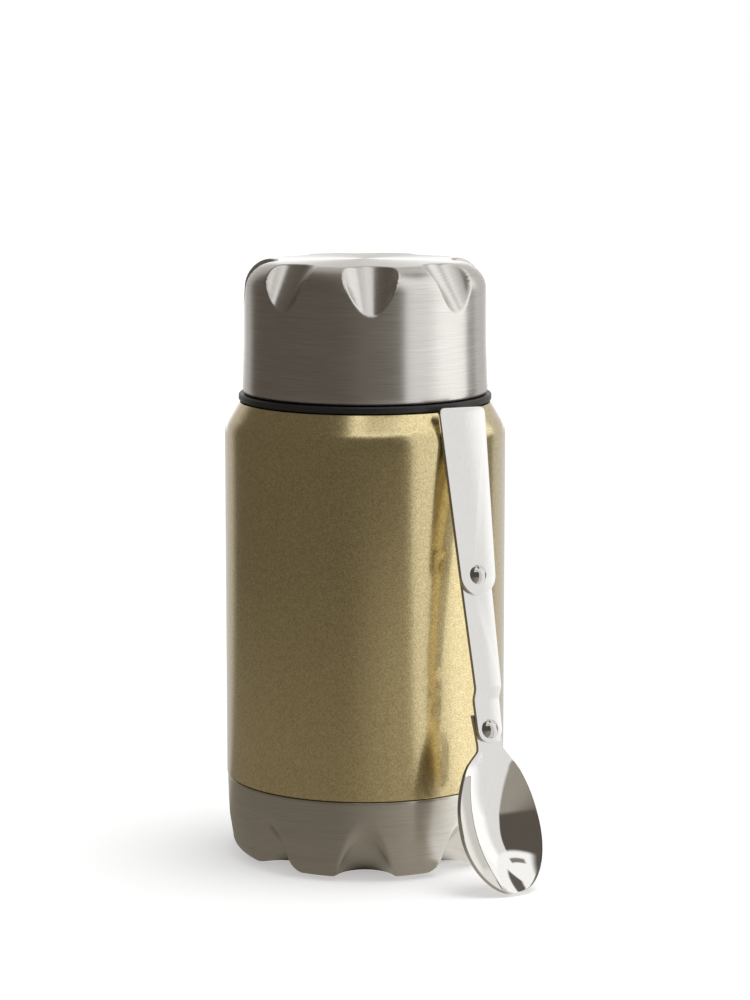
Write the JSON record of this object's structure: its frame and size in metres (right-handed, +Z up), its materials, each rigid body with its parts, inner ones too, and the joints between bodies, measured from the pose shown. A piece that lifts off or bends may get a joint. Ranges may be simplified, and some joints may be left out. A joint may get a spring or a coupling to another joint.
{
  "type": "insulated food jar",
  "caption": "Vacuum food jar with a steel screw lid, vented stopper, recessed steel base and a folding spoon leaning on its shoulder.",
  "frame": {"origin": "centre of the base's foot ring, on the ground", "axes": "+Z up along the jar, -Y towards the viewer's front, +X to the viewer's right"},
  "size_m": [0.0894, 0.0944, 0.1714],
  "materials": {
    "gold_paint": "fine metallic paint under a satin clear coat",
    "flask_steel": "plain drawn stainless steel",
    "seal_glass": "sealing glass",
    "getter_metal": "sintered grey metal",
    "brushed_steel": "turned and brushed round the jar",
    "adhesive": "hot melt",
    "black_plastic": "moulded, satin",
    "silicone": "soft, matt",
    "foam": "expanded bead foam",
    "button_plastic": "moulded, satin",
    "spring_steel": "bright wire",
    "lid_lining": "moulded, satin",
    "polished_steel": "mirror polished stainless steel",
    "rivet_steel": "headed, satin"
  },
  "bodies": {
    "jar": {"outer_shell": "gold_paint", "inner_flask": "flask_steel", "shell_bottom": "flask_steel", "seal_bead": "seal_glass", "getter_holder": "flask_steel", "getter_pill": "getter_metal", "base_cup": "brushed_steel", "base_adhesive": "adhesive"},
    "stopper_core": {"stopper_foam": "foam"},
    "stopper": {"stopper_body": "black_plastic", "stopper_cover": "black_plastic", "stopper_gasket": "silicone", "vent_spring": "spring_steel"},
    "vent": {"vent_button": "button_plastic", "vent_valve": "silicone"},
    "lid_seal": {"lid_gasket": "silicone"},
    "lid": {"lid_shell": "brushed_steel", "lid_liner": "lid_lining"},
    "spoon_bowl": {"spoon_bowl": "polished_steel"},
    "spoon_link": {"spoon_link": "polished_steel", "spoon_rivets": "rivet_steel"},
    "spoon_handle": {"spoon_handle": "polished_steel"}
  },
  "joints": [
    {"name": "stopper_lift", "type": "slide", "parent": "jar", "child": "stopper_core", "axis": [0, 0, 1], "range_m": [0, 0.03]},
    {"name": "stopper_turn", "type": "hinge", "parent": "stopper_core", "child": "stopper", "pos_m": [0, 0, 0.14], "axis": [0, 0, 1], "range_deg": [0, 676]},
    {"name": "lid_lift", "type": "slide", "parent": "stopper", "child": "lid_seal", "axis": [0, 0, 1], "range_m": [0, 0.044]},
    {"name": "lid_turn", "type": "hinge", "parent": "lid_seal", "child": "lid", "pos_m": [0, 0, 0.15], "axis": [0, 0, 1], "range_deg": [0, 991]},
    {"name": "vent_press", "type": "slide", "parent": "stopper", "child": "vent", "axis": [0, 0, -1], "range_m": [0, 0.0025], "stiffness_N_per_m": 300, "springref_m": -0.004, "deforming": ["vent_spring"]},
    {"name": "spoon_away", "type": "slide", "parent": "jar", "child": "spoon_bowl", "axis": [0.487, -0.8435, 0.2267], "range_m": [0, 0.08]},
    {"name": "spoon_link_fold", "type": "hinge", "parent": "spoon_bowl", "child": "spoon_link", "pos_m": [0.03387, -0.04391, 0.04512], "axis": [-0.487, 0.8435, -0.2267], "range_deg": [0, 175]},
    {"name": "spoon_handle_fold", "type": "hinge", "parent": "spoon_link", "child": "spoon_handle", "pos_m": [0.02906, -0.03558, 0.08647], "axis": [-0.487, 0.8435, -0.2267], "range_deg": [0, 175]}
  ],
  "couplings": [
    {"joint": "stopper_turn", "follows": "stopper_lift", "rad_per_m": 392.7},
    {"joint": "lid_turn", "follows": "lid_lift", "rad_per_m": 392.7}
  ]
}
